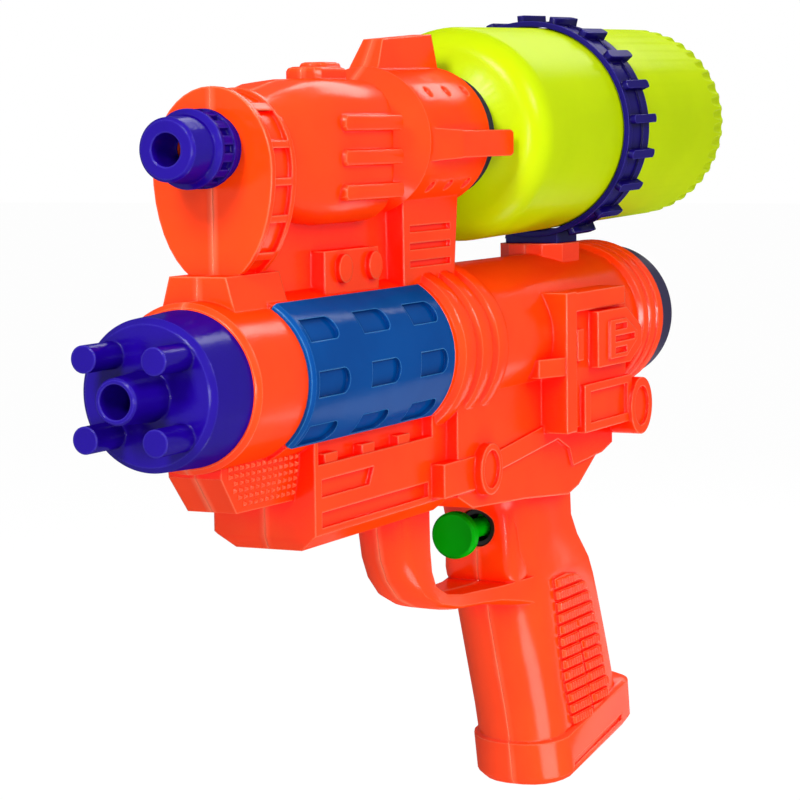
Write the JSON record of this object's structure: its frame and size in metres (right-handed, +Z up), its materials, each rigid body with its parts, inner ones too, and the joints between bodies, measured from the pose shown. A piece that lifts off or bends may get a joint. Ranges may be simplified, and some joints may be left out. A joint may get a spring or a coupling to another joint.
{
  "type": "water squirter",
  "caption": "Toy water pistol with a ribbed barrel, false muzzle, nozzle on an upper housing, screw-on tank in a hoop, piston trigger and moulded grip.",
  "frame": {"origin": "on the barrel's axis at the front face of the collar, inside the bore of the false muzzle's centre tube", "axes": "+X forwards along the barrel, +Y to the left side, +Z up; the seam of the two body shells is the plane y = 0"},
  "size_m": [0.2784, 0.0568, 0.1933],
  "materials": {
    "orange_plastic": "gloss moulded",
    "purple_plastic": "gloss moulded",
    "blue_plastic": "gloss moulded",
    "dark_plastic": "gloss moulded",
    "yellow_plastic": "blown, slightly see-through",
    "green_plastic": "gloss moulded",
    "red_plastic": "moulded",
    "black_plastic": "moulded",
    "white_plastic": "moulded",
    "hose": "milky soft tube",
    "rubber": "matt",
    "steel": "drawn wire, plated screws"
  },
  "bodies": {
    "body": {"left_shell": "orange_plastic", "right_shell": "orange_plastic", "muzzle_plug": "purple_plastic", "sleeve_left": "blue_plastic", "sleeve_right": "blue_plastic", "rear_cap": "dark_plastic", "jet_tube": "red_plastic", "tank_socket": "dark_plastic", "tank_ring": "purple_plastic", "pickup_tube": "hose", "trigger_spring": "steel", "pump_cylinder": "black_plastic", "valve_body": "white_plastic", "suction_hose": "hose", "delivery_hose": "hose", "housing_screws": "steel"},
    "trigger": {"trigger": "green_plastic", "piston_seal": "rubber"},
    "nozzle": {"nozzle": "purple_plastic"},
    "tank_seal": {"tank_seal": "rubber"},
    "tank": {"tank": "yellow_plastic"},
    "inlet_ball": {"inlet_ball": "steel"},
    "outlet_ball": {"outlet_ball": "steel"}
  },
  "joints": [
    {"name": "trigger_slide", "type": "slide", "parent": "body", "child": "trigger", "axis": [-1, 0, 0], "range_m": [0, 0.008], "stiffness_N_per_m": 600, "springref_m": -0.003, "deforming": ["trigger_spring"]},
    {"name": "nozzle_turn", "type": "hinge", "parent": "body", "child": "nozzle", "pos_m": [0, 0, 0.04672], "axis": [1, 0, 0], "range_deg": [-180, 180]},
    {"name": "tank_slide", "type": "slide", "parent": "body", "child": "tank_seal", "axis": [-0.9998, 0, 0.0209], "range_m": [0, 0.008]},
    {"name": "tank_turn", "type": "hinge", "parent": "tank_seal", "child": "tank", "pos_m": [-0.12999, 0, 0.04856], "axis": [-0.9998, 0, 0.0209], "range_deg": [0, 720]},
    {"name": "inlet_lift", "type": "slide", "parent": "body", "child": "inlet_ball", "axis": [0, 0, 1], "range_m": [0, 0.0012]},
    {"name": "outlet_lift", "type": "slide", "parent": "body", "child": "outlet_ball", "axis": [0, 0, 1], "range_m": [0, 0.0012]}
  ],
  "couplings": [
    {"joint": "tank_slide", "follows": "tank_turn", "m_per_rad": 0.0006366}
  ]
}
